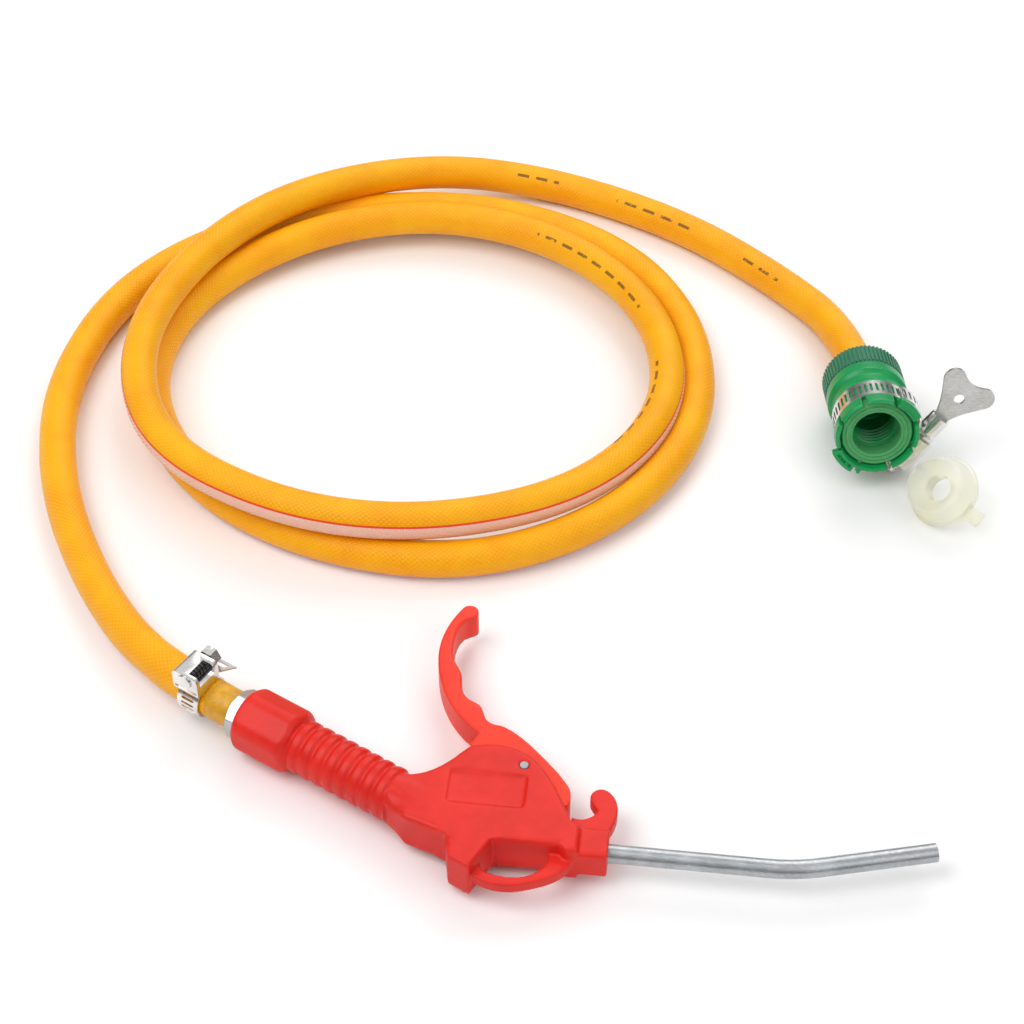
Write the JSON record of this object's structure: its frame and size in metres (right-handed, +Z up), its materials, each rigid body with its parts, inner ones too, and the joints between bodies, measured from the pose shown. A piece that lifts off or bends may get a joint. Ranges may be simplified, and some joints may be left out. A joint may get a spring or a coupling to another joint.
{
  "type": "trigger filling gun with coiled hose",
  "caption": "Moulded trigger gun with a bent metal nozzle on a coiled braided hose, ending in a clamp-on tap connector; the trigger opens a sprung valve.",
  "frame": {"origin": "on the table, under the middle of the gun with its nozzle, inlet fitting and hose clamp", "axes": "+X along the nozzle away from the grip, +Y towards the free end of the lever and the coil, +Z up from the table; the gun lies on its side"},
  "size_m": [0.3543, 0.3731, 0.0429],
  "materials": {
    "gun_red": "satin moulded nylon",
    "lever_red": "satin moulded nylon",
    "pin_steel": "ground",
    "brass": "machined",
    "nickel": "nickel plated",
    "nozzle_steel": "drawn tube",
    "seal_rubber": "moulded",
    "clamp_steel": "stainless, bright",
    "wing_steel": "brushed stainless",
    "hose_orange": "soft PVC with a woven braid under the skin",
    "connector_green": "moulded",
    "nut_green": "moulded, ribbed",
    "collet_white": "moulded",
    "insert_silicone": "soft translucent silicone"
  },
  "bodies": {
    "root": {"band_housing": "clamp_steel", "bush_o_ring": "seal_rubber", "clamp_band": "clamp_steel", "clamp_housing": "clamp_steel", "connector_body": "connector_green", "connector_seal": "seal_rubber", "grip_collet": "collet_white", "gun_body": "gun_red", "hose": "hose_orange", "hose_barb": "nickel", "inlet_insert": "brass", "inlet_o_ring": "seal_rubber", "jaw_band": "clamp_steel", "lever_pin": "pin_steel", "nozzle_tube": "nozzle_steel", "screw_washer": "clamp_steel", "stem_o_ring": "seal_rubber", "tap_insert": "insert_silicone", "valve_bush": "brass", "valve_spring": "pin_steel"},
    "lever": {"trigger_lever": "lever_red"},
    "valve": {"valve_stem": "brass", "valve_seal": "seal_rubber"},
    "band_screw": {"clamp_screw": "clamp_steel"},
    "nut": {"hose_nut": "nut_green"},
    "thumb_key": {"thumb_screw": "clamp_steel", "thumb_wing": "wing_steel"}
  },
  "joints": [
    {"name": "lever_pivot", "type": "hinge", "parent": "root", "child": "lever", "pos_m": [-0.0047, -0.0129, 0.011], "axis": [0, 0, 1], "range_deg": [0, 18], "stiffness_Nm_per_rad": 1.5, "springref_deg": -11.46},
    {"name": "valve_slide", "type": "slide", "parent": "root", "child": "valve", "axis": [0, -1, 0], "range_m": [0, 0.0054], "deforming": ["valve_spring"]},
    {"name": "clamp_screw_turn", "type": "hinge", "parent": "root", "child": "band_screw", "pos_m": [-0.11504, 0.01179, 0.02275], "axis": [0.454, 0.891, 0], "continuous": true},
    {"name": "thumb_key_turn", "type": "hinge", "parent": "root", "child": "thumb_key", "pos_m": [0.11925, 0.15981, 0.01024], "axis": [0.5905, 0.2354, 0.7719], "continuous": true},
    {"name": "nut_turn", "type": "hinge", "parent": "root", "child": "nut", "pos_m": [0.1006, 0.1918, 0.01475], "axis": [0.1245, -0.9716, 0.2011], "continuous": true}
  ],
  "couplings": [
    {"joint": "valve_slide", "follows": "lever_pivot", "m_per_rad": 0.0168}
  ]
}
